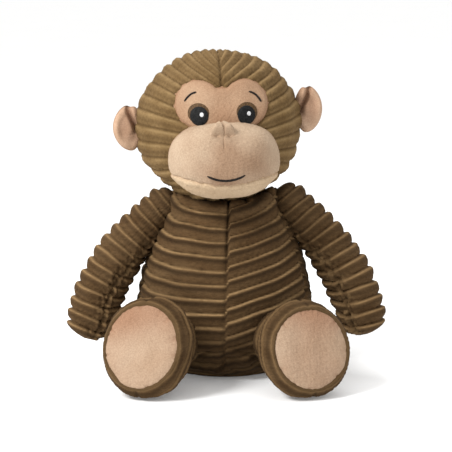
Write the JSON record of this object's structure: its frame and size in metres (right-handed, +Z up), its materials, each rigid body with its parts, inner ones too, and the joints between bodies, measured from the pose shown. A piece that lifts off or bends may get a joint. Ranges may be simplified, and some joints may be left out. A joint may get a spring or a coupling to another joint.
{
  "type": "seated plush monkey",
  "caption": "Seated stuffed monkey in wide-rib brown plush with a peach face, ears and soles; its sewn-on head, ears, arms and legs can be turned and bent.",
  "frame": {"origin": "on the floor, in the middle of the whole outline seen from above", "axes": "+Z up, the monkey faces -Y, its left side is at +X"},
  "size_m": [0.2882, 0.2191, 0.2886],
  "materials": {
    "rib_plush": "wide-rib short-pile plush, dark brown",
    "rib_plush_light": "wide-rib short-pile plush, golden brown",
    "face_plush": "smooth short-pile plush, peach",
    "chin_plush": "smooth short-pile plush, pale peach",
    "sole_plush": "smooth short-pile plush, peach",
    "black_thread": "satin embroidery, black",
    "iris_thread": "satin embroidery, brown",
    "white_thread": "satin embroidery, white",
    "brow_thread": "satin embroidery, dark brown",
    "seam_thread": "sewn seam, dark brown",
    "stuffing": "polyester fibre filling, white",
    "pellet_bag": "woven bag of plastic pellets"
  },
  "bodies": {
    "torso": {"torso_front_right_panel": "rib_plush", "torso_front_left_panel": "rib_plush", "torso_back_right_panel": "rib_plush", "torso_back_left_panel": "rib_plush", "seat_panel": "rib_plush", "chest_seam": "seam_thread", "back_seam": "seam_thread", "torso_stuffing": "stuffing", "seat_pellet_bag": "pellet_bag"},
    "neck": {"neck_plug": "stuffing", "neck_seam": "seam_thread"},
    "head": {"head_right_panel": "rib_plush_light", "head_left_panel": "rib_plush_light", "crown_seam": "seam_thread", "face_panel": "face_plush", "muzzle_panel": "face_plush", "chin_panel": "chin_plush", "head_stuffing": "stuffing", "muzzle_stuffing": "stuffing", "right_eye_pupil": "black_thread", "right_eye_iris": "iris_thread", "right_eye_glint": "white_thread", "right_brow": "brow_thread", "left_eye_pupil": "black_thread", "left_eye_iris": "iris_thread", "left_eye_glint": "white_thread", "left_brow": "brow_thread", "mouth_line": "brow_thread", "nose_stitches": "brow_thread"},
    "right_ear": {"right_ear_front": "face_plush", "right_ear_back": "face_plush"},
    "right_shoulder": {"right_shoulder_seam": "seam_thread"},
    "right_arm": {"right_arm_front_panel": "rib_plush", "right_arm_back_panel": "rib_plush", "right_arm_stuffing": "stuffing"},
    "right_hip": {"right_hip_seam": "seam_thread"},
    "right_leg": {"right_leg_top_panel": "rib_plush", "right_leg_bottom_panel": "rib_plush", "right_sole": "sole_plush", "right_leg_stuffing": "stuffing"},
    "left_ear": {"left_ear_front": "face_plush", "left_ear_back": "face_plush"},
    "left_shoulder": {"left_shoulder_seam": "seam_thread"},
    "left_arm": {"left_arm_front_panel": "rib_plush", "left_arm_back_panel": "rib_plush", "left_arm_stuffing": "stuffing"},
    "left_hip": {"left_hip_seam": "seam_thread"},
    "left_leg": {"left_leg_top_panel": "rib_plush", "left_leg_bottom_panel": "rib_plush", "left_sole": "sole_plush", "left_leg_stuffing": "stuffing"}
  },
  "joints": [
    {"name": "neck_turn", "type": "hinge", "parent": "torso", "child": "neck", "pos_m": [-0.007, 0.0231, 0.137], "axis": [0, 0, 1], "range_deg": [-30, 30]},
    {"name": "head_nod", "type": "hinge", "parent": "neck", "child": "head", "pos_m": [-0.007, 0.0231, 0.137], "axis": [1, 0, 0], "range_deg": [-12, 12]},
    {"name": "right_ear_fold", "type": "hinge", "parent": "head", "child": "right_ear", "pos_m": [-0.08619, 0.01455, 0.21971], "axis": [-0.0174, -0.0012, 0.9998], "range_deg": [-30, 30]},
    {"name": "left_ear_fold", "type": "hinge", "parent": "head", "child": "left_ear", "pos_m": [0.07237, 0.02564, 0.23549], "axis": [0.0174, 0.0012, -0.9998], "range_deg": [-30, 30]},
    {"name": "right_arm_swing", "type": "hinge", "parent": "torso", "child": "right_shoulder", "pos_m": [-0.059, 0.0281, 0.1455], "axis": [-1, 0, 0], "range_deg": [-40, 90]},
    {"name": "right_arm_raise", "type": "hinge", "parent": "right_shoulder", "child": "right_arm", "pos_m": [-0.059, 0.0281, 0.1455], "axis": [0, 0.9903, -0.1392], "range_deg": [0, 70]},
    {"name": "right_leg_splay", "type": "hinge", "parent": "torso", "child": "right_hip", "pos_m": [-0.04367, -0.02985, 0.038], "axis": [0, 0, -1], "range_deg": [-8, 10]},
    {"name": "right_leg_lift", "type": "hinge", "parent": "right_hip", "child": "right_leg", "pos_m": [-0.04367, -0.02985, 0.038], "axis": [-0.9336, 0.3584, 0], "range_deg": [0, 13]},
    {"name": "left_arm_swing", "type": "hinge", "parent": "torso", "child": "left_shoulder", "pos_m": [0.059, 0.0281, 0.1495], "axis": [-1, 0, 0], "range_deg": [-40, 90]},
    {"name": "left_arm_raise", "type": "hinge", "parent": "left_shoulder", "child": "left_arm", "pos_m": [0.059, 0.0281, 0.1495], "axis": [0, -0.9903, 0.1392], "range_deg": [0, 70]},
    {"name": "left_leg_splay", "type": "hinge", "parent": "torso", "child": "left_hip", "pos_m": [0.04367, -0.02985, 0.038], "axis": [0, 0, 1], "range_deg": [-8, 10]},
    {"name": "left_leg_lift", "type": "hinge", "parent": "left_hip", "child": "left_leg", "pos_m": [0.04367, -0.02985, 0.038], "axis": [-0.9336, -0.3584, 0], "range_deg": [0, 13]}
  ]
}
